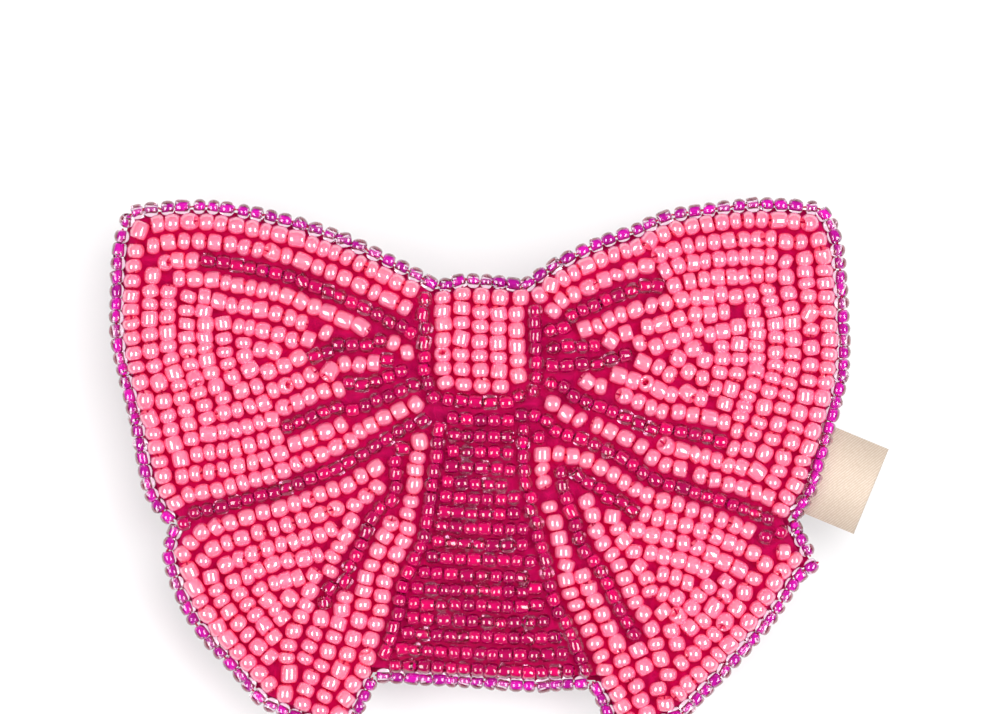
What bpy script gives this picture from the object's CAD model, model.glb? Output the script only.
# %% [markdown]
# # A beaded hair bow
# The real object is a flat bow of crimson felt with about 1,200 seed beads sewn on it in rows, a folded ribbon tag
# in its seam, and a spring clip on its back. The CAD frame already says where each bead, felt and plate of the clip
# lies. This lesson dresses that frame: it reads the places from the frame, builds a finer shape for each piece
# there, and gives it a finish.

# %% Load the frame
import math
import random

import bmesh
import bpy
import numpy as np
from mathutils import Matrix, Vector
from mathutils.kdtree import KDTree


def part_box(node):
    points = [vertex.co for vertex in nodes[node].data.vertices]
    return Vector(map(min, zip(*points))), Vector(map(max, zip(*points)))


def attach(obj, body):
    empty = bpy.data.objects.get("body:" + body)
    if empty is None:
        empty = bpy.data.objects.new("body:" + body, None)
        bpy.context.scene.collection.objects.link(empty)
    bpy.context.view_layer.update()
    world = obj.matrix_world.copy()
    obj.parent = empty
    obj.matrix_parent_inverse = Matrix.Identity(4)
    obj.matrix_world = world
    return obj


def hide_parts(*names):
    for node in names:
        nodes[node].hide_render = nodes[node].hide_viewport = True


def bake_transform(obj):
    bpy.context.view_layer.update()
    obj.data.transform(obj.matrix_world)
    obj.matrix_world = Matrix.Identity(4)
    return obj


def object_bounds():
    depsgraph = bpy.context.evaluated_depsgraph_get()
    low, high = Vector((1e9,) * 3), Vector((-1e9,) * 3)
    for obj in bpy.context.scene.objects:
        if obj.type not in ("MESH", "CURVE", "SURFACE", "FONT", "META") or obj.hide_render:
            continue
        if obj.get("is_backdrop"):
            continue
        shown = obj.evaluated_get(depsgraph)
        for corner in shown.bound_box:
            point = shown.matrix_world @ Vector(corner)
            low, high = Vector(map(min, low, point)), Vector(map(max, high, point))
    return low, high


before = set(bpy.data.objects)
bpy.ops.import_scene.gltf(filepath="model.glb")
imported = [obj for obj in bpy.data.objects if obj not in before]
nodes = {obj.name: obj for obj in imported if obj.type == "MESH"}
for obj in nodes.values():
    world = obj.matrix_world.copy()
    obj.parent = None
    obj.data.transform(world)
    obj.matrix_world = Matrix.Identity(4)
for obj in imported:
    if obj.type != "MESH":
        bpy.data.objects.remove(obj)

MM = 0.001
cad_low, cad_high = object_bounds()
print("CAD box in mm:", [round(x / MM, 2) for x in cad_high - cad_low])

# %% [markdown]
# ## Camera
# The photograph looks straight down on the bow, with no lines that run together, so the camera stands far off with
# a long lens. Its place comes from two facts: 8 pixels of the 1000 pixel wide picture are a millimetre, and the
# middle of the picture lies a little right of and above the frame's origin, which is just below the knot.

# %% Stand the camera above the bow
PICTURE_WIDTH_PX = 1000
PX_PER_MM = 8
PICTURE_CENTRE = Vector((2.5, 10.4, 5.0)) * MM
CAMERA_DISTANCE = 600 * MM

camera_data = bpy.data.cameras.new("camera")
camera_data.sensor_width = 36
camera_data.lens = camera_data.sensor_width * CAMERA_DISTANCE / (PICTURE_WIDTH_PX / PX_PER_MM * MM)
camera = bpy.data.objects.new("camera", camera_data)
camera.location = PICTURE_CENTRE + Vector((0, 0, CAMERA_DISTANCE))
bpy.context.scene.collection.objects.link(camera)
bpy.context.scene.camera = camera
bpy.context.scene.view_settings.view_transform = "Standard"
print("lens in mm:", round(camera_data.lens, 1))

# %% [markdown]
# ## Node helpers
# Every finish below is a small tree of shader nodes. Adding a node, setting its values and linking its inputs takes
# several lines each time, so a few helpers do it. Colours are written as a painter reads them off a screen, from 0
# to 255, and turned into the linear light that shaders count in. One helper lets lamp light through a bead: glass
# bends light, and the renderer doesn't look for a lamp round a bend, so without it beads would cast dark shadows.

# %% Helpers for materials
def add(tree, kind, inputs=None, **settings):
    """Adds a node, with its settings, and links or sets its inputs."""
    node = tree.nodes.new(kind)
    for name, value in settings.items():
        setattr(node, name, value)
    for name, value in (inputs or {}).items():
        if isinstance(value, bpy.types.NodeSocket):
            tree.links.new(value, node.inputs[name])
        else:
            node.inputs[name].default_value = value
    return node


def screen(red, green, blue):
    """A colour of the screen, 0 to 255, as linear light."""
    shares = [x / 255 for x in (red, green, blue)]
    return (*[x / 12.92 if x <= 0.04045 else ((x + 0.055) / 1.055) ** 2.4 for x in shares], 1.0)


def new_material(name, **sockets):
    """A material with plain values on its Principled shader; returns it, its tree and the shader."""
    material = bpy.data.materials.new(name)
    material.use_nodes = True
    tree = material.node_tree
    shader = tree.nodes["Principled BSDF"]
    for socket, value in sockets.items():
        shader.inputs[socket.replace("_", " ")].default_value = value
    return material, tree, shader


def new_group(name, inputs, outputs):
    """A node group with named sockets; returns it with its input and output nodes."""
    group = bpy.data.node_groups.new(name, "ShaderNodeTree")
    for socket, kind, value in inputs:
        group.interface.new_socket(socket, in_out="INPUT", socket_type=kind).default_value = value
    for socket, kind in outputs:
        group.interface.new_socket(socket, in_out="OUTPUT", socket_type=kind)
    return group, add(group, "NodeGroupInput"), add(group, "NodeGroupOutput")


def pass_light(tree, shader, colour, share):
    """Lets a share of the lamps' light through a material, tinted; the camera still sees its shader."""
    path = add(tree, "ShaderNodeLightPath")
    passed = add(tree, "ShaderNodeMath", {0: path.outputs["Is Shadow Ray"], 1: share}, operation="MULTIPLY")
    through = add(tree, "ShaderNodeBsdfTransparent", {"Color": colour})
    mixed = add(
        tree, "ShaderNodeMixShader", {0: passed.outputs[0], 1: shader.outputs[0], 2: through.outputs[0]},
    )
    tree.links.new(mixed.outputs[0], tree.nodes["Material Output"].inputs["Surface"])


COLOR = "NodeSocketColor"
FLOAT = "NodeSocketFloat"
print("pink of the screen as linear light:", [round(x, 3) for x in screen(255, 130, 160)])

# %% [markdown]
# ## Bead tone
# Beads of one bag are never all of one shade: the glass comes out of the furnace a little lighter or darker, and
# its surface is faintly cloudy. Each bead will carry a number of its own, from 0 to 1, in an attribute called
# shade. This group turns that number into a small shift of value and hue, and clouds it with noise, so the opaque
# beads and the painted linings of the clear ones can share it.

# %% Node group for the tone of a bead
def make_bead_tone():
    group, given, made = new_group(
        "bead tone",
        [("Color", COLOR, (1, 1, 1, 1)), ("Spread", FLOAT, 0.15), ("Cloud", FLOAT, 0.1)],
        [("Color", COLOR), ("Cloud", FLOAT)],
    )
    shade = add(group, "ShaderNodeAttribute", attribute_name="shade")
    off_middle = add(group, "ShaderNodeMath", {0: shade.outputs["Fac"], 1: 0.5}, operation="SUBTRACT")
    place = add(group, "ShaderNodeTexCoord")
    noise = add(group, "ShaderNodeTexNoise", {"Vector": place.outputs["Object"], "Scale": 1500, "Detail": 3})
    cloud = add(group, "ShaderNodeMath", {0: noise.outputs["Fac"], 1: 0.5}, operation="SUBTRACT")
    toned = add(
        group, "ShaderNodeMath",
        {0: off_middle.outputs[0], 1: given.outputs["Spread"], 2: 1.0}, operation="MULTIPLY_ADD",
    )
    value = add(
        group, "ShaderNodeMath",
        {0: cloud.outputs[0], 1: given.outputs["Cloud"], 2: toned.outputs[0]}, operation="MULTIPLY_ADD",
    )
    hue = add(group, "ShaderNodeMath", {0: off_middle.outputs[0], 1: 0.008, 2: 0.5}, operation="MULTIPLY_ADD")
    shifted = add(
        group, "ShaderNodeHueSaturation",
        {"Hue": hue.outputs[0], "Value": value.outputs[0], "Color": given.outputs["Color"]},
    )
    group.links.new(shifted.outputs["Color"], made.inputs["Color"])
    group.links.new(noise.outputs["Fac"], made.inputs["Cloud"])
    return group


bead_tone = make_bead_tone()
print("group:", bead_tone.name, len(bead_tone.nodes), "nodes")

# %% [markdown]
# ## Opaque pink with a pearl lustre
# The pink beads are opaque glass under a thin clear film that mirrors the lamps as two small white bars. A coat
# does that: it has a high index, because the film reflects more than bare glass, and it is nearly smooth. The
# glass below it stays a soft pink, which looks deeper towards the rim, where the light comes through more of it. A
# faint bump keeps the mirrored bars from being ruler straight. Even opaque glass lets some light through, which
# brightens the felt between the beads.

# %% Material of the pink beads
def make_pearl_pink():
    material, tree, shader = new_material(
        "pearl pink", Roughness=0.4, Coat_Weight=1.0, Coat_Roughness=0.06, Coat_IOR=2.8, Subsurface_Weight=0.4,
        Subsurface_Radius=(1.0, 0.4, 0.6), Subsurface_Scale=0.4 * MM,
    )
    tone = add(
        tree, "ShaderNodeGroup",
        {"Color": screen(255, 140, 168), "Spread": 0.1, "Cloud": 0.1}, node_tree=bead_tone,
    )
    weight = add(tree, "ShaderNodeLayerWeight", {"Blend": 0.3})
    richer = add(
        tree, "ShaderNodeMapRange", {"Value": weight.outputs["Facing"], "To Min": 1.0, "To Max": 1.5},
    )
    deepened = add(
        tree, "ShaderNodeHueSaturation", {"Saturation": richer.outputs["Result"], "Color": tone.outputs["Color"]},
    )
    bump = add(tree, "ShaderNodeBump", {"Height": tone.outputs["Cloud"], "Strength": 0.12, "Distance": 0.1 * MM})
    tree.links.new(deepened.outputs["Color"], shader.inputs["Base Color"])
    tree.links.new(bump.outputs["Normal"], shader.inputs["Normal"])
    pass_light(tree, shader, screen(255, 165, 192), 0.85)
    return material


pearl_pink = make_pearl_pink()
print("material:", pearl_pink.name)

# %% [markdown]
# ## Clear glass and painted linings
# The beads of the folds and of the edge are clear, and their colour is paint in the bore, which the round glass
# shows enlarged. So each gets two pieces: the glass, which lets all light through, and a thin tube for the paint.

# %% Materials of the clear beads
def make_clear_glass(name, colour):
    material, tree, shader = new_material(
        name, Base_Color=colour, Roughness=0.03, IOR=1.5, Transmission_Weight=1.0, Coat_Weight=1.0, Coat_IOR=1.8,
        Coat_Roughness=0.05, Sheen_Weight=0.15, Sheen_Roughness=0.2, Sheen_Tint=screen(255, 150, 206),
    )
    pass_light(tree, shader, colour, 1.0)
    return material


def make_lining(name, colour):
    material, tree, shader = new_material(name, Roughness=0.6, Specular_IOR_Level=0.0)
    tone = add(
        tree, "ShaderNodeGroup", {"Color": colour, "Spread": 0.6, "Cloud": 0.3}, node_tree=bead_tone,
    )
    tree.links.new(tone.outputs["Color"], shader.inputs["Base Color"])
    return material


clear_glass = make_clear_glass("clear glass", screen(246, 218, 236))
rosy_glass = make_clear_glass("rosy glass", screen(242, 176, 216))
magenta_lining = make_lining("magenta lining", screen(186, 0, 98))
violet_lining = make_lining("violet lining", screen(184, 18, 156))
print("materials:", clear_glass.name, rosy_glass.name, magenta_lining.name, violet_lining.name)

# %% [markdown]
# ## Felt and thread
# Felt is pressed wool: no weave, only short fibres that lie every way. Two stretched noises, turned against each
# other, draw such fibres as fine lighter lines and as a small height, and a wide noise blotches the dye. The bead
# thread and the stitches take the same group at a finer scale.

# %% Node group for pressed fibres
def make_fibres():
    group, given, made = new_group(
        "pressed fibres",
        [("Color", COLOR, (1, 0, 0, 1)), ("Scale", FLOAT, 900.0), ("Contrast", FLOAT, 0.5)],
        [("Color", COLOR), ("Height", FLOAT)],
    )
    place = add(group, "ShaderNodeTexCoord")
    layers = []
    for turn in (20, 95, 150):
        lain = add(
            group, "ShaderNodeMapping",
            {"Vector": place.outputs["Object"], "Rotation": (0.4, 0.3, math.radians(turn)), "Scale": (4.5, 1, 1)},
            vector_type="TEXTURE",
        )
        noise = add(
            group, "ShaderNodeTexNoise",
            {"Vector": lain.outputs[0], "Scale": given.outputs["Scale"], "Detail": 4, "Distortion": 0.6},
        )
        layers.append(noise.outputs["Fac"])
    crossed = add(group, "ShaderNodeMath", {0: layers[0], 1: layers[1]}, operation="MAXIMUM")
    height = add(group, "ShaderNodeMath", {0: crossed.outputs[0], 1: layers[2]}, operation="MAXIMUM")
    blotch = add(group, "ShaderNodeTexNoise", {"Vector": place.outputs["Object"], "Scale": 140, "Detail": 2})
    lit = add(group, "ShaderNodeMath", {0: height.outputs[0], 1: 0.62}, operation="SUBTRACT")
    worn = add(group, "ShaderNodeMath", {0: blotch.outputs["Fac"], 1: 0.3, 2: 0.85}, operation="MULTIPLY_ADD")
    value = add(
        group, "ShaderNodeMath",
        {0: lit.outputs[0], 1: given.outputs["Contrast"], 2: worn.outputs[0]}, operation="MULTIPLY_ADD",
    )
    shifted = add(
        group, "ShaderNodeHueSaturation", {"Value": value.outputs[0], "Color": given.outputs["Color"]},
    )
    group.links.new(shifted.outputs["Color"], made.inputs["Color"])
    group.links.new(height.outputs[0], made.inputs["Height"])
    return group


fibres = make_fibres()


def make_fibrous(name, colour, scale, contrast, depth, sheen):
    material, tree, shader = new_material(
        name, Roughness=0.95, Sheen_Weight=sheen, Sheen_Roughness=0.4, Sheen_Tint=colour, Specular_IOR_Level=0.2,
    )
    laid = add(
        tree, "ShaderNodeGroup", {"Color": colour, "Scale": scale, "Contrast": contrast}, node_tree=fibres,
    )
    bump = add(tree, "ShaderNodeBump", {"Height": laid.outputs["Height"], "Strength": 0.8, "Distance": depth})
    tree.links.new(laid.outputs["Color"], shader.inputs["Base Color"])
    tree.links.new(bump.outputs["Normal"], shader.inputs["Normal"])
    return material


crimson_felt = make_fibrous("crimson felt", screen(166, 2, 74), 900, 1.6, 0.4 * MM, 0.35)
crimson_thread = make_fibrous("crimson thread", screen(180, 10, 74), 4000, 1.2, 0.08 * MM, 0.2)
print("materials:", crimson_felt.name, crimson_thread.name)

# %% [markdown]
# ## Ribbon, card and steel
# The tag is a cream ribbon in a fine twill, whose diagonal ribs show as lines a quarter of a millimetre apart: a
# wave texture of bands gives them, slightly broken by noise as threads are. The stiffener inside the felts is grey
# card. The clip is nickelled steel, brushed along its length, so a noise stretched along X drives its roughness
# and a shallow bump, in a group that the spring shares at a finer grain.

# %% Material of the ribbon
TAG_TURN = math.radians(-22.5)
TWILL_TURN = math.radians(52)
TWILL_RIBS_PER_M = 3600
# The wave texture counts this many radians to a unit of its scale
WAVE_UNIT = 20


def make_ribbon():
    material, tree, shader = new_material(
        "cream twill ribbon", Roughness=0.6, Sheen_Weight=0.2, Sheen_Tint=screen(206, 190, 174),
    )
    place = add(tree, "ShaderNodeTexCoord")
    turned = add(tree, "ShaderNodeMapping", {"Vector": place.outputs["Object"], "Rotation": (0, 0, TWILL_TURN)})
    ribs = add(
        tree, "ShaderNodeTexWave",
        {"Vector": turned.outputs[0], "Scale": TWILL_RIBS_PER_M / WAVE_UNIT * math.tau, "Distortion": 0.8,
         "Detail": 1, "Detail Scale": 2},
        bands_direction="X",
    )
    threads = add(tree, "ShaderNodeTexNoise", {"Vector": turned.outputs[0], "Scale": 2500, "Detail": 3})
    mixed = add(
        tree, "ShaderNodeMath", {0: ribs.outputs["Fac"], 1: threads.outputs["Fac"]}, operation="MULTIPLY",
    )
    ramp = add(tree, "ShaderNodeValToRGB", {"Fac": mixed.outputs[0]})
    ramp.color_ramp.elements[0].color = screen(190, 168, 148)
    ramp.color_ramp.elements[1].color = screen(212, 199, 186)
    ramp.color_ramp.elements[1].position = 0.55
    bump = add(tree, "ShaderNodeBump", {"Height": mixed.outputs[0], "Strength": 0.5, "Distance": 0.06 * MM})
    tree.links.new(ramp.outputs["Color"], shader.inputs["Base Color"])
    tree.links.new(bump.outputs["Normal"], shader.inputs["Normal"])
    return material


twill_ribbon = make_ribbon()
print("material:", twill_ribbon.name)

# %% Materials of the card and the steel
def make_brushing():
    group, given, made = new_group(
        "brushing",
        [("Grain", FLOAT, 3000.0), ("Smooth", FLOAT, 0.2), ("Rough", FLOAT, 0.4)],
        [("Roughness", FLOAT), ("Height", FLOAT)],
    )
    place = add(group, "ShaderNodeTexCoord")
    drawn = add(group, "ShaderNodeMapping", {"Vector": place.outputs["Object"], "Scale": (0.03, 1, 1)})
    noise = add(
        group, "ShaderNodeTexNoise", {"Vector": drawn.outputs[0], "Scale": given.outputs["Grain"], "Detail": 5},
    )
    rough = add(
        group, "ShaderNodeMapRange",
        {"Value": noise.outputs["Fac"], "From Min": 0.3, "From Max": 0.7, "To Min": given.outputs["Smooth"],
         "To Max": given.outputs["Rough"]},
    )
    group.links.new(rough.outputs["Result"], made.inputs["Roughness"])
    group.links.new(noise.outputs["Fac"], made.inputs["Height"])
    return group


brushing = make_brushing()


def make_steel(name, colour, grain, smooth, rough):
    material, tree, shader = new_material(name, Base_Color=colour, Metallic=1.0)
    brushed = add(
        tree, "ShaderNodeGroup", {"Grain": grain, "Smooth": smooth, "Rough": rough}, node_tree=brushing,
    )
    bump = add(
        tree, "ShaderNodeBump", {"Height": brushed.outputs["Height"], "Strength": 0.1, "Distance": 0.03 * MM},
    )
    tree.links.new(brushed.outputs["Roughness"], shader.inputs["Roughness"])
    tree.links.new(bump.outputs["Normal"], shader.inputs["Normal"])
    return material


nickel_steel = make_steel("nickelled steel", screen(214, 212, 206), 3000, 0.2, 0.4)
spring_steel = make_steel("spring steel", screen(188, 188, 190), 5000, 0.15, 0.3)
grey_card = make_fibrous("grey card", screen(150, 144, 136), 700, 0.4, 0.1 * MM, 0.0)
print("materials:", nickel_steel.name, spring_steel.name, grey_card.name)

# %% [markdown]
# ## Reading the beads out of the frame
# A CAD node holds many beads as loose triangles. A copy is merged first, so that neighbouring triangles share
# their corners, and then walked from face to face: what can be reached is one bead. Its two flat ends hold the
# largest area that faces one way, which gives the direction of the thread. Along and across that direction lie its
# length, its radius and its bore.

# %% Helpers that measure the solids of a node
WELD = 0.001 * MM


def merged_copy(node):
    """A copy of a node's mesh, as a bmesh, with its loose triangles joined."""
    bm = bmesh.new()
    bm.from_mesh(nodes[node].data)
    bmesh.ops.remove_doubles(bm, verts=bm.verts, dist=WELD)
    return bm


def separate_solids(bm):
    """The faces of each solid in a bmesh, one list for each."""
    for face in bm.faces:
        face.tag = False
    for first in bm.faces:
        if first.tag:
            continue
        first.tag = True
        solid = [first]
        waiting = [first]
        while waiting:
            for edge in waiting.pop().edges:
                for other in edge.link_faces:
                    if not other.tag:
                        other.tag = True
                        solid.append(other)
                        waiting.append(other)
        yield solid


def thread_direction(solid):
    """The direction that the flat ends of a bead face."""
    ends = {}
    for face in solid:
        normal = face.normal.copy()
        rounded = tuple(round(x, 2) for x in normal)
        if rounded < (0, 0, 0):
            normal.negate()
            rounded = tuple(-x for x in rounded)
        area = face.calc_area()
        total, direction = ends.get(rounded, (0, Vector()))
        ends[rounded] = (total + area, direction + normal * area)
    return max(ends.values(), key=lambda end: end[0])[1].normalized()


def middle(values):
    return (min(values) + max(values)) / 2


def measure_solid(solid):
    """Centre, direction, half length, radius and bore of a round solid."""
    along = thread_direction(solid)
    corners = [v.co for v in {v for face in solid for v in face.verts}]
    across = along.orthogonal().normalized()
    third = along.cross(across)
    centre = sum((d * middle([c.dot(d) for c in corners]) for d in (along, across, third)), Vector())
    radii = [(c - centre - along * (c - centre).dot(along)).length for c in corners]
    half = max(c.dot(along) for c in corners) - centre.dot(along)
    return {"centre": centre, "along": along, "half": half, "radius": max(radii), "bore": min(radii)}


def measure_node(node):
    bm = merged_copy(node)
    found = [measure_solid(solid) for solid in separate_solids(bm)]
    bm.free()
    return found


beads = {node: measure_node(node) for node in sorted(nodes) if node.endswith("_beads")}
print("beads:", sum(len(group) for group in beads.values()), "in", len(beads), "groups")

# %% [markdown]
# ## Letting the beads settle
# The frame keeps every bead clear of the next, with open wedges where two rows meet at an angle. On the real bow
# the beads lean into such wedges until they lie evenly. Rounds of small pushes do the same in plan: two beads that
# stand nearer than a third more than touching push each other apart, and each is drawn back to the place where it
# was sewn. The beads of the edge hold still, and those of the folds give way less, so the drawing of the bow stays
# as it is.

# %% Push the beads until they lie evenly
SETTLE_ROUNDS = 80
SETTLE_REACH = 1.2 * MM
NEIGHBOUR_REACH = 4 * MM
# Distances at which two beads stop pushing, where touching is 1
SPREAD = 1.35
BESIDE_EDGE = 1.18
# Shares of a shortfall and of a drift that one round makes good
PUSH = 0.15
DRAW_BACK = 0.01
GIVE = {"pink": 1.0, "glass": 0.3, "edge": 0.0}


def kind_of(node):
    """pink, glass or edge"""
    return node.split("_")[-2]


def settle(beads):
    """Moves the beads in plan, by a little, until they lie evenly; returns how far each moved."""
    every = [bead for group in beads.values() for bead in group]
    kinds = [kind_of(node) for node, group in beads.items() for _ in group]
    give = np.array([GIVE[kind] for kind in kinds])[:, None]
    is_edge = np.array([kind == "edge" for kind in kinds])
    sewn = np.array([bead["centre"].xy for bead in every])
    along = np.array([bead["along"].xy.normalized() for bead in every])
    half = np.array([bead["half"] for bead in every])
    radius = np.array([bead["radius"] for bead in every])
    tree = KDTree(len(every))
    for i, spot in enumerate(sewn):
        tree.insert((*spot, 0), i)
    tree.balance()
    pairs = [(i, j) for i, spot in enumerate(sewn)
             for _, j, _ in tree.find_range((*spot, 0), NEIGHBOUR_REACH) if i < j]
    first, second = np.array(pairs).T
    slack = np.where(is_edge[first] != is_edge[second], BESIDE_EDGE, SPREAD)

    def reach(of, way):
        """How far beads reach in a direction of the plan, as rounded oblongs."""
        lengthwise = np.abs((along[of] * way).sum(axis=1))
        crosswise = np.sqrt(np.clip(1 - lengthwise**2, 0, 1))
        return ((lengthwise / half[of]) ** 4 + (crosswise / radius[of]) ** 4) ** -0.25

    spots = sewn.copy()
    for _ in range(SETTLE_ROUNDS):
        gap = spots[second] - spots[first]
        distance = np.linalg.norm(gap, axis=1)
        way = gap / distance[:, None]
        short = slack * (reach(first, way) + reach(second, way)) - distance
        push = PUSH * np.clip(short, 0, None)[:, None] * way
        move = np.zeros_like(spots)
        np.add.at(move, second, push)
        np.add.at(move, first, -push)
        drift = spots + give * move + DRAW_BACK * (sewn - spots) - sewn
        drifted = np.maximum(np.linalg.norm(drift, axis=1, keepdims=True), WELD)
        spots = sewn + drift * np.minimum(1, SETTLE_REACH / drifted)
    for bead, kind, spot in zip(every, kinds, spots):
        bead["kind"] = kind
        bead["sewn"] = bead["centre"]
        bead["centre"] = Vector((*spot, bead["sewn"].z))
    return np.linalg.norm(spots - sewn, axis=1)


moves = settle(beads)
print("beads moved by", round(moves.mean() / MM, 2), "mm on average and at most", round(moves.max() / MM, 2))

# %% [markdown]
# ## One bead
# A seed bead is a slice of a glass tube whose edges melted round, some more and some less. Its half section is a
# ring of seven points, and a spin round the thread makes the bead from it. The points lie a little outside the true
# size, because the Subdivision Surface modifier that rounds the bead also draws it in. Only seven by twelve faces
# are kept, since the shape is repeated more than a thousand times.

# %% Spin the base beads
BEAD_STEPS = 12
# Half of each section, as height along the thread and radius, from the middle of the bead to its bore
ROUND_SECTION = [(0.0, 1.07), (0.64, 0.97), (1.12, 0.62), (0.82, 0.32)]
CUT_SECTION = [(0.0, 1.03), (0.88, 1.02), (1.12, 0.68), (0.82, 0.33)]


def finish_normals(bm):
    bmesh.ops.remove_doubles(bm, verts=bm.verts, dist=1e-6)
    bmesh.ops.recalc_face_normals(bm, faces=bm.faces)


def make_base_bead(name, section):
    """A bead of radius 1 and half length 1, with its thread along Z."""
    bm = bmesh.new()
    mirrored = [(-height, radius) for height, radius in reversed(section[1:])]
    ring = [bm.verts.new((radius, 0, height)) for height, radius in section + mirrored]
    edges = [bm.edges.new((ring[i - 1], ring[i])) for i in range(len(ring))]
    bmesh.ops.spin(
        bm, geom=ring + edges, cent=(0, 0, 0), axis=(0, 0, 1), angle=math.tau, steps=BEAD_STEPS, use_merge=True,
    )
    finish_normals(bm)
    mesh = bpy.data.meshes.new(name)
    bm.to_mesh(mesh)
    bm.free()
    return mesh


base_beads = [make_base_bead("round_bead", ROUND_SECTION), make_base_bead("cut_bead", CUT_SECTION)]
print("faces of a bead:", len(base_beads[0].polygons))

# %% [markdown]
# ## Stringing a group of beads
# Each bead of a group is a copy of a base, turned from Z to its thread, stretched and set at its centre. It gets a
# little more than its measured size, because the frame keeps the beads apart and the real ones nearly touch. No two
# real beads are alike, so a copy is also sheared a little and drawn in by a few hundredths, and some have tipped on
# their thread. The draws start from the bead's own place, so a bead keeps its looks whatever order the frame lists
# it in. All the beads of a group are one piece, as they are one node.

# %% Helpers that copy a shape to each bead and make pieces
BEAD_SHEAR = 0.06
BEAD_FLAT = 0.06
BEAD_TILT = math.radians(6)
TIPPED_SHARE = 0.15
TIPPED_TILT = math.radians(18)
CUT_SHARE = 0.25
# For each kind of bead: what its width and its length are multiplied by
BEAD_SWELL = {"pink": (1.17, 1.15), "glass": (1.1, 1.13), "edge": (1.08, 1.1)}


def draws_for(bead):
    """A random generator that belongs to one place."""
    spot = bead["sewn"] / MM
    return random.Random(f"{spot.x:.1f} {spot.y:.1f} {spot.z:.1f}")


def standing(bead):
    """The turn and place that bring a shape along Z to a bead's thread."""
    return Matrix.Translation(bead["centre"]) @ bead["along"].to_track_quat("Z", "Y").to_matrix().to_4x4()


def copy_to_each(bases, group, shape_of):
    """One bmesh with a copy of one of the base meshes for each bead, which carries the bead's shade."""
    bm = bmesh.new()
    for bead in group:
        draws = draws_for(bead)
        shade = draws.random()
        copy = bases[-1 if draws.random() < CUT_SHARE else 0].copy()
        copy.transform(standing(bead) @ shape_of(bead, draws))
        tone = copy.attributes.new("shade", "FLOAT", "POINT")
        tone.data.foreach_set("value", [shade] * len(copy.vertices))
        bm.from_mesh(copy)
        bpy.data.meshes.remove(copy)
    return bm


def new_piece(name, bm, material, smooth=True):
    """An object of a bmesh at the origin, not yet riding on a body."""
    mesh = bpy.data.meshes.new(name)
    bm.to_mesh(mesh)
    bm.free()
    mesh.materials.append(material)
    if smooth:
        mesh.shade_smooth()
    piece = bpy.data.objects.new(name, mesh)
    bpy.context.scene.collection.objects.link(piece)
    return piece


def add_subdivision(piece, levels):
    rounding = piece.modifiers.new("rounding", "SUBSURF")
    rounding.levels = levels
    rounding.render_levels = levels


def bead_shape(bead, draws):
    """Size and small faults of one bead."""
    flatness = 1 - BEAD_FLAT * draws.random()
    lean = (draws.uniform(-BEAD_SHEAR, BEAD_SHEAR), draws.uniform(-BEAD_SHEAR, BEAD_SHEAR))
    turn = Matrix.Rotation(draws.uniform(0, math.tau), 4, "Z")
    lax = TIPPED_TILT if draws.random() < TIPPED_SHARE else BEAD_TILT
    tilt = Matrix.Rotation(draws.gauss(0, lax), 4, "X") @ Matrix.Rotation(draws.gauss(0, lax), 4, "Y")
    wide, long = BEAD_SWELL[bead["kind"]]
    radius = bead["radius"] * wide
    size = Matrix.Diagonal((radius * flatness, radius, bead["half"] * long, 1))
    return tilt @ size @ Matrix.Shear("XY", 4, lean) @ turn


print("a bead leans by up to", round(math.degrees(math.atan(BEAD_SHEAR)), 1), "degrees")

# %% Make the bead pieces
BEAD_FINISHES = {
    "pink": (pearl_pink, "pink_beads"),
    "glass": (rosy_glass, "magenta_lined_glass"),
    "edge": (clear_glass, "violet_lined_glass"),
}


for node, group in beads.items():
    material, slot = BEAD_FINISHES[kind_of(node)]
    shapes = copy_to_each(base_beads, group, bead_shape)
    strung = new_piece(node.replace("_beads", "_strung_beads"), shapes, material)
    add_subdivision(strung, 1)
    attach(strung, "root")
    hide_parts(node)
    print(strung.name, len(group), "beads")

# %% [markdown]
# ## Paint in the bores and thread
# The paint of a clear bead lines its bore. It is a tube about as wide as the bore, thinner in some beads and
# thicker in others, so that some look pale and others deep. The thread runs through every bead and shows as a
# crimson dash where two beads of a row stand apart. Both come from a cone with equal ends, open for the paint and
# closed for the thread.

# %% Make the linings and the thread
LINING_SIDES = 10
LINING_REACH = 0.95
# Least and largest width of the paint, as a share of the bore's
LINING_SWELL = {"glass": (0.85, 1.45), "edge": (0.7, 1.0)}
THREAD_SIDES = 6
THREAD_RADIUS = 0.13 * MM
THREAD_REACH = 0.3 * MM


def make_tube(name, sides, closed):
    """A tube of radius 1 and half length 1 along Z."""
    bm = bmesh.new()
    bmesh.ops.create_cone(
        bm, cap_ends=closed, cap_tris=False, segments=sides, radius1=1, radius2=1, depth=2,
    )
    mesh = bpy.data.meshes.new(name)
    bm.to_mesh(mesh)
    bm.free()
    return mesh


def lining_shape(bead, draws):
    thin, thick = LINING_SWELL[bead["kind"]]
    radius = bead["bore"] * draws.uniform(thin, thick)
    return Matrix.Diagonal((radius, radius, bead["half"] * LINING_REACH, 1))


def thread_shape(bead, draws):
    return Matrix.Diagonal((THREAD_RADIUS, THREAD_RADIUS, bead["half"] + THREAD_REACH, 1))


lining_tube = make_tube("lining_tube", LINING_SIDES, False)
thread_rod = make_tube("thread_rod", THREAD_SIDES, True)
for node, group in beads.items():
    stem = node.replace("_beads", "")
    thread = new_piece(stem + "_thread", copy_to_each([thread_rod], group, thread_shape), crimson_thread)
    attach(thread, "root")
    kind = kind_of(node)
    if kind != "pink":
        paint = violet_lining if kind == "edge" else magenta_lining
        lining = new_piece(stem + "_lining", copy_to_each([lining_tube], group, lining_shape), paint)
        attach(lining, "root")
print("threads:", len(beads), "linings:", sum(kind_of(node) != "pink" for node in beads))

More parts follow.
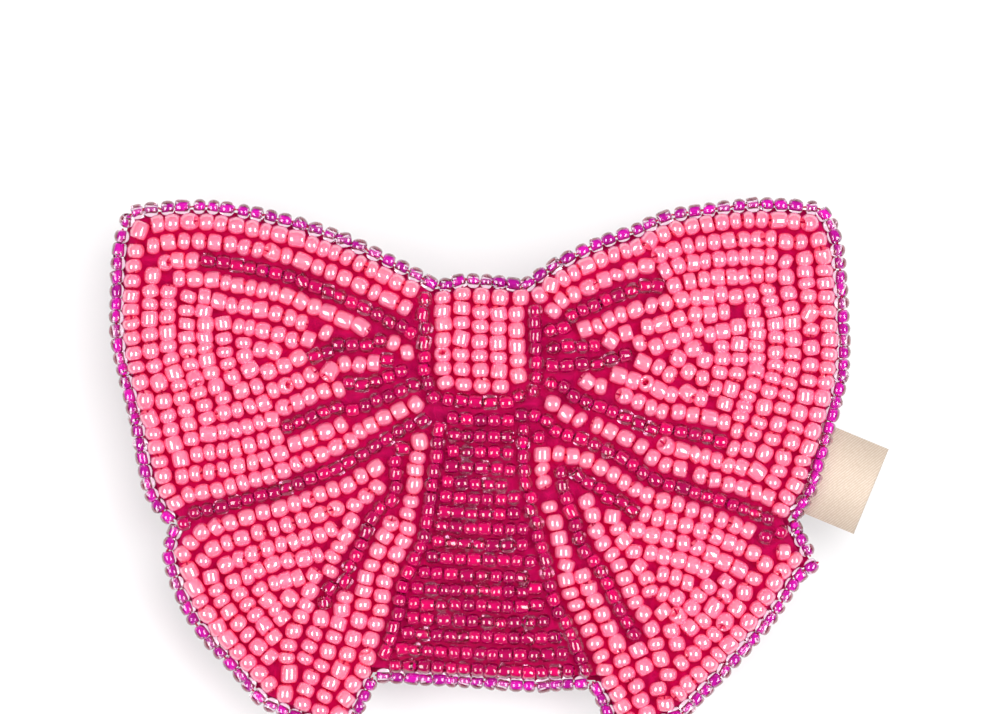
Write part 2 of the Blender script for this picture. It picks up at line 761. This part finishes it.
# %% [markdown]
# ## The felts
# Two pieces of felt are cut to the bow's outline and sewn together at the edge over the stiffener. The outline is
# one flat face of the frame's felt. It is pushed out to the felt's thickness, and its outer rim is rounded, as felt
# never has a sharp edge. The lower rim of the face felt is drawn down to the back felt, where they are sewn. Where
# the tag goes in, they stay apart, and the face felt lies over the tag as a short lip.

# %% Cut the felts
BACK_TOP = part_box("back_felt")[1].z
SEAM_WIDTH = 0.5 * MM
FELT_ROUND = 0.35 * MM
FLAT_ANGLE = math.radians(1)
TAG_ROOT = Vector((41.25, -3.25, 0)) * MM
TAG_WIDTH = 11.5 * MM
TAG_INSIDE = 4.5 * MM
TAG_OUTSIDE = 8.5 * MM
LIP_REACH = 1.5 * MM
MOUTH_HALF_WIDTH = 0.55 * TAG_WIDTH
out_of_mouth = Matrix.Rotation(TAG_TURN, 3, "Z") @ Vector((1, 0, 0))
to_tag = (Matrix.Translation(TAG_ROOT) @ Matrix.Rotation(TAG_TURN, 4, "Z")).inverted()


def in_tag_mouth(point):
    """Whether a point of the seam lies where the tag goes in."""
    local = to_tag @ point
    return abs(local.y) < MOUTH_HALF_WIDTH and abs(local.x) < TAG_INSIDE


def outline_face(node, upward):
    """A bmesh with one face, the upper or lower outline of a flat node."""
    bm = merged_copy(node)
    bmesh.ops.dissolve_limit(bm, angle_limit=FLAT_ANGLE, verts=bm.verts, edges=bm.edges)
    sign = 1 if upward else -1
    kept = max(bm.faces, key=lambda face: sign * face.normal.z * face.calc_area())
    bmesh.ops.delete(bm, geom=[face for face in bm.faces if face is not kept], context="FACES")
    return bm


def make_felt(name, node, upward):
    """A felt with a rounded outer rim, which comes down to the seam if it is the upper one; also its flat area."""
    low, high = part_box(node)
    thickness = high.z - low.z
    bm = outline_face(node, upward)
    area = sum(face.calc_area() for face in bm.faces)
    pushed = bmesh.ops.extrude_face_region(bm, geom=list(bm.faces))
    inner = [item for item in pushed["geom"] if isinstance(item, bmesh.types.BMFace)]
    inner_rim = [item for item in pushed["geom"] if isinstance(item, bmesh.types.BMVert)]
    bmesh.ops.translate(bm, verts=inner_rim, vec=(0, 0, -thickness if upward else thickness))
    bmesh.ops.recalc_face_normals(bm, faces=bm.faces)
    if upward:
        bmesh.ops.inset_region(bm, faces=inner, thickness=SEAM_WIDTH, use_even_offset=True)
        for vert in inner_rim:
            if in_tag_mouth(vert.co):
                vert.co += out_of_mouth * LIP_REACH
            else:
                vert.co.z = BACK_TOP
    outer_z = high.z if upward else low.z
    rim = [e for e in bm.edges if all(abs(v.co.z - outer_z) < WELD for v in e.verts)]
    bmesh.ops.bevel(
        bm, geom=rim, offset=FELT_ROUND, segments=3, profile=0.5, affect="EDGES", material=-1,
        clamp_overlap=True,
    )
    felt = new_piece(name, bm, crimson_felt, smooth=False)
    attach(felt, "root")
    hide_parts(node)
    return felt, area


for name, node, upward in (("beaded_face_felt", "face_felt", True), ("sewn_back_felt", "back_felt", False)):
    felt, area = make_felt(name, node, upward)
    low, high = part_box(node)
    flat = (high.y - low.y, high.x - low.x)
    print(name, "flat size in mm:", [round(x / MM, 1) for x in flat], "area in cm2:", round(area * 1e4, 1))

# %% [markdown]
# ## The stiffener
# The card between the felts doesn't show, but it is there, so its CAD node stays and only gets its finish.

# %% Give the stiffener its card
nodes["stiffener"].data.materials.clear()
nodes["stiffener"].data.materials.append(grey_card)
print("stiffener:", len(nodes["stiffener"].data.polygons), "faces")

# %% [markdown]
# ## The folded tag
# The tag is one strip of ribbon, folded over and caught in the seam by both ends. It is made as it is folded: one
# edge across the ribbon is pushed out along the upper layer, spun half round for the fold, and pushed back along
# the lower layer. Solidify then gives the ribbon its thickness.

# %% Fold the tag
RIBBON_THICKNESS = 0.3 * MM
FOLD_RADIUS = 0.23 * MM
FOLD_STEPS = 8
LAYER_STEPS = 6
SEAM_Z = (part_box("face_felt")[0].z + BACK_TOP) / 2


def extrude_edges(bm, edges, vector):
    """Pushes edges out by a vector; returns the new edges."""
    made = bmesh.ops.extrude_edge_only(bm, edges=edges)["geom"]
    bmesh.ops.translate(bm, verts=[x for x in made if isinstance(x, bmesh.types.BMVert)], vec=vector)
    return [x for x in made if isinstance(x, bmesh.types.BMEdge) and not x.link_faces[1:]
            and all(v in made for v in x.verts)]


def make_tag():
    bm = bmesh.new()
    ends = [bm.verts.new((-TAG_INSIDE, side * TAG_WIDTH / 2, FOLD_RADIUS)) for side in (-1, 1)]
    edge = [bm.edges.new(ends)]
    run = TAG_INSIDE + TAG_OUTSIDE - FOLD_RADIUS - RIBBON_THICKNESS / 2
    for _ in range(LAYER_STEPS):
        edge = extrude_edges(bm, edge, (run / LAYER_STEPS, 0, 0))
    fold = bmesh.ops.spin(
        bm, geom=edge + list(edge[0].verts), cent=(run - TAG_INSIDE, 0, 0), axis=(0, 1, 0), angle=math.pi,
        steps=FOLD_STEPS,
    )
    edge = [x for x in fold["geom_last"] if isinstance(x, bmesh.types.BMEdge)]
    for _ in range(LAYER_STEPS):
        edge = extrude_edges(bm, edge, (-run / LAYER_STEPS, 0, 0))
    finish_normals(bm)
    bmesh.ops.transform(bm, matrix=Matrix.Translation((0, 0, SEAM_Z)) @ to_tag.inverted(), verts=bm.verts)
    return new_piece("folded_ribbon_tag", bm, twill_ribbon)


tag = make_tag()
thickness = tag.modifiers.new("ribbon thickness", "SOLIDIFY")
thickness.thickness = RIBBON_THICKNESS
thickness.offset = 0
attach(tag, "root")
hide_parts("fold_tag")

# %% [markdown]
# ## The clip
# The clip is stamped from sheet steel: a fixed arm under the felt, a lever with teeth and a thumb pad, and a pin
# through the ears of both. The frame's solids have the right shape, but a stamped edge is rounded by tumbling. So
# a merged copy of each has its flat faces joined and its sharp edges bevelled.

# %% Round the edges of the clip
SHARP = math.radians(30)
CLIP_PIECES = {
    "clip_fixed_arm": ("stamped_fixed_arm", "root", 0.14 * MM),
    "clip_lever": ("stamped_lever", "clip_lever", 0.1 * MM),
    "clip_hinge_pin": ("riveted_hinge_pin", "root", 0.16 * MM),
}


def rounded_copy(node, radius):
    """A merged copy of a node with its flat faces joined and its sharp edges bevelled."""
    bm = merged_copy(node)
    bmesh.ops.dissolve_limit(bm, angle_limit=FLAT_ANGLE, verts=bm.verts, edges=bm.edges)
    sharp = [e for e in bm.edges if len(e.link_faces) == 2 and e.calc_face_angle() > SHARP]
    bmesh.ops.bevel(
        bm, geom=sharp, offset=radius, segments=2, profile=0.5, affect="EDGES", material=-1, clamp_overlap=True,
    )
    return bm


def shade_by_angle(piece, angle=SHARP):
    """Smooth shading, except across sharper edges."""
    piece.data.shade_smooth()
    piece.data.set_sharp_from_angle(angle=angle)


for node, (name, body, radius) in CLIP_PIECES.items():
    stamped = new_piece(name, rounded_copy(node, radius), nickel_steel)
    shade_by_angle(stamped)
    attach(stamped, body)
    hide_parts(node)
    print(name, "on", body, len(stamped.data.polygons), "faces")

# %% [markdown]
# ## The spring
# A wire coils round the pin and pushes the two handles apart with its legs. A circle is set across the wire where
# the upper leg meets the coil, and a spin round the pin, with a small step along it each time, winds the coil. The
# legs are the two open ends pushed straight on. When the lever turns, the coil twists between its two ends, so the
# piece blends from the fixed arm to the lever along the pin.

# %% Wind the spring
HINGE = Vector((19, 0, -3.2)) * MM
WIRE_RADIUS = 0.3 * MM
WIRE_SIDES = 8
COIL_RADIUS = 1.6 * MM
COIL_PITCH = 1.05 * MM
COIL_START = math.radians(98)
COIL_END = math.radians(251 + 3 * 360)
COIL_STEPS = 60
LEG_END_X = 28 * MM
UPPER_LEG_Z = -0.35 * MM


def coil_at(turn):
    """A point of the coil's middle line."""
    share = (turn - (COIL_START + COIL_END) / 2) / math.tau
    return HINGE + Vector((COIL_RADIUS * math.cos(turn), share * COIL_PITCH, COIL_RADIUS * math.sin(turn)))


def make_spring():
    bm = bmesh.new()
    start = coil_at(COIL_START)
    upper_end = Vector((LEG_END_X, start.y, UPPER_LEG_Z))
    facing = (start - upper_end).to_track_quat("Z", "Y").to_matrix().to_4x4()
    ring = bmesh.ops.create_circle(
        bm, segments=WIRE_SIDES, radius=WIRE_RADIUS, matrix=Matrix.Translation(start) @ facing,
    )["verts"]
    first = list(bm.edges)
    rise = (COIL_END - COIL_START) / math.tau * COIL_PITCH / COIL_STEPS
    coil = bmesh.ops.spin(
        bm, geom=ring + first, cent=HINGE, axis=(0, -1, 0), dvec=(0, rise, 0), angle=COIL_END - COIL_START,
        steps=COIL_STEPS,
    )
    last = [x for x in coil["geom_last"] if isinstance(x, bmesh.types.BMEdge)]
    end = coil_at(COIL_END)
    reach = LEG_END_X - end.x
    lower = extrude_edges(bm, last, (reach, 0, -reach / math.tan(COIL_END)))
    upper = extrude_edges(bm, first, upper_end - start)
    bmesh.ops.holes_fill(bm, edges=lower + upper, sides=WIRE_SIDES)
    finish_normals(bm)
    return new_piece("wound_spring", bm, spring_steel)


spring = make_spring()
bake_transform(spring)
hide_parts("clip_spring")
print("spring:", len(spring.data.polygons), "faces")

# %% [markdown]
# ## The keeper and its stitches
# A strap of the same felt holds the fixed arm to the back, with six stitches on each side. The strap is a rounded
# copy of its solid. A stitch rises out of the felt and goes back in, so it is an arc: a small circle spun through
# part of a turn, set at each place where the frame has a stitch.

# %% Sew the keeper on
KEEPER_ROUND = 0.3 * MM
STITCH_SIDES = 6
STITCH_STEPS = 6
STITCH_BOW = math.radians(70)
# As shares of a stitch's half length: the radius of its thread, and how far its arc is stretched away from the felt
# and across
STITCH_THREAD = 0.26
STITCH_RISE, STITCH_WIDTH = 0.7, 0.9


def make_base_stitch():
    """An arc of thread from Z -1 to Z 1, which bows towards X; returns its mesh."""
    bm = bmesh.new()
    bow_radius = 1 / math.sin(STITCH_BOW)
    centre = Vector((-bow_radius * math.cos(STITCH_BOW), 0, 0))
    lean = Matrix.Rotation(STITCH_BOW, 4, "Y")
    place = Matrix.Translation(centre) @ lean @ Matrix.Translation((bow_radius, 0, 0))
    ring = bmesh.ops.create_circle(bm, segments=STITCH_SIDES, radius=STITCH_THREAD, matrix=place)["verts"]
    bmesh.ops.spin(
        bm, geom=ring + list(bm.edges), cent=centre, axis=(0, 1, 0), angle=-2 * STITCH_BOW, steps=STITCH_STEPS,
    )
    bmesh.ops.holes_fill(bm, edges=bm.edges, sides=STITCH_SIDES)
    finish_normals(bm)
    mesh = bpy.data.meshes.new("base_stitch")
    bm.to_mesh(mesh)
    bm.free()
    return mesh


keeper = new_piece("felt_keeper_strap", rounded_copy("keeper_strap", KEEPER_ROUND), crimson_felt)
shade_by_angle(keeper)
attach(keeper, "root")
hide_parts("keeper_strap")


def stitch_shape(stitch, draws):
    """An arc that bows away from the felt, with its ends in it."""
    down = stitch["along"].to_track_quat("Z", "Y").to_matrix().inverted() @ Vector((0, 0, -1))
    turn = Matrix.Rotation(math.atan2(down.y, down.x), 4, "Z")
    half = stitch["half"]
    return turn @ Matrix.Diagonal((half * STITCH_RISE, half * STITCH_WIDTH, half, 1))


stitch_places = measure_node("keeper_stitches")
for stitch in stitch_places:
    stitch["sewn"] = stitch["centre"]
stitches = new_piece(
    "thread_keeper_stitches", copy_to_each([make_base_stitch()], stitch_places, stitch_shape), crimson_thread,
)
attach(stitches, "root")
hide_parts("keeper_stitches")

# %% [markdown]
# ## Light and floor
# The photograph was lit by two tall soft boxes, left and right of the lens and a little in front of it: each pink
# bead mirrors both as white bars. A third lamp high above, a little behind the lens and to the right, isn't
# mirrored. It and a pale sky light the felt between the beads. The camera and glass see the sky as white. A mirror
# sees white only low down, as a backdrop, and a dim room above it, since the beads mirror no bright ceiling. The
# floor is white and keeps the soft shadow of the bow. So that it reads as white paper, it glows a little where the
# camera, a mirror or glass looks at it.

# %% Hang the lamps
# Name: degrees to the side and to the front, distance, width, height, power in watts, whether it is mirrored
LAMPS = {
    "left_box": (-33, 12, 500 * MM, 200 * MM, 380 * MM, 1.3, True),
    "right_box": (33, 12, 500 * MM, 200 * MM, 380 * MM, 1.5, True),
    "fill_above": (10, -14, 900 * MM, 400 * MM, 400 * MM, 5.4, False),
}

for name, (side, front, distance, width, height, power, mirrored) in LAMPS.items():
    lamp = bpy.data.lights.new(name, "AREA")
    lamp.shape = "RECTANGLE"
    lamp.size, lamp.size_y = width, height
    lamp.energy = power
    box = bpy.data.objects.new(name, lamp)
    aim = Matrix.Rotation(math.radians(front), 4, "X") @ Matrix.Rotation(math.radians(side), 4, "Y")
    box.matrix_world = Matrix.Translation(PICTURE_CENTRE) @ aim @ Matrix.Translation((0, 0, distance))
    box.visible_glossy = mirrored
    box.visible_transmission = mirrored
    bpy.context.scene.collection.objects.link(box)
    print(name, "at", [round(x / MM) for x in box.matrix_world.translation])

# %% Make the sky and the floor
SKY_LIGHT = 0.22
MIRRORED_SKY = 0.05
FLOOR_SIZE = 3.0
FLOOR_Z = cad_low.z - 0.3 * MM
FLOOR_GLOW = 0.44
# Sines of the angles up to which a mirror sees the white backdrop, and from which it sees the dim room
BACKDROP_TOP, ROOM_FOOT = 0.1, 0.2
PAPER_COLOUR = (0.5, 0.5, 0.5, 1)
WHITE = (1, 1, 1, 1)


def either(tree, first, second):
    """The larger of two values."""
    return add(tree, "ShaderNodeMath", {0: first, 1: second}, operation="MAXIMUM").outputs[0]


def seen_by_eye_or_glass(tree, path):
    """1 where the camera looks, itself or through glass."""
    return either(tree, path.outputs["Is Camera Ray"], path.outputs["Is Transmission Ray"])


world = bpy.data.worlds.new("pale sky")
world.use_nodes = True
sky_tree = world.node_tree
path = add(sky_tree, "ShaderNodeLightPath")
direction = add(sky_tree, "ShaderNodeTexCoord").outputs["Generated"]
look = add(sky_tree, "ShaderNodeSeparateXYZ", {"Vector": direction})
mirrored_sky = add(
    sky_tree, "ShaderNodeMapRange",
    {
        "Value": look.outputs["Z"], "From Min": BACKDROP_TOP, "From Max": ROOM_FOOT,
        "To Min": 1.0, "To Max": MIRRORED_SKY,
    },
)
unseen_sky = add(
    sky_tree, "ShaderNodeMapRange",
    {"Value": path.outputs["Is Glossy Ray"], "To Min": SKY_LIGHT, "To Max": mirrored_sky.outputs["Result"]},
)
strength = add(
    sky_tree, "ShaderNodeMapRange",
    {"Value": seen_by_eye_or_glass(sky_tree, path), "To Min": unseen_sky.outputs["Result"], "To Max": 1.0},
)
sky = sky_tree.nodes["Background"]
sky_tree.links.new(strength.outputs["Result"], sky.inputs["Strength"])
sky.inputs["Color"].default_value = WHITE
bpy.context.scene.world = world

paper, paper_tree, paper_shader = new_material("white paper", Base_Color=PAPER_COLOUR, Roughness=0.9)
path = add(paper_tree, "ShaderNodeLightPath")
seen = either(paper_tree, seen_by_eye_or_glass(paper_tree, path), path.outputs["Is Glossy Ray"])
glow = add(paper_tree, "ShaderNodeMapRange", {"Value": seen, "To Min": 0.0, "To Max": FLOOR_GLOW})
paper_shader.inputs["Emission Color"].default_value = WHITE
paper_tree.links.new(glow.outputs["Result"], paper_shader.inputs["Emission Strength"])
floor_bm = bmesh.new()
bmesh.ops.create_grid(
    floor_bm, x_segments=1, y_segments=1, size=FLOOR_SIZE, matrix=Matrix.Translation((0, 0, FLOOR_Z)),
)
floor = new_piece("floor", floor_bm, paper, smooth=False)
floor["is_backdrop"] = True
print("floor at", round(FLOOR_Z / MM, 2), "mm")

# %% [markdown]
# ## Hand over
# The box of the dressed bow is written beside the box of the CAD model, because fabric may stand only a little
# proud of it.

# %% Measure and finish
low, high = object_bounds()
print("visual box in mm:", [round(x / MM, 2) for x in high - low])
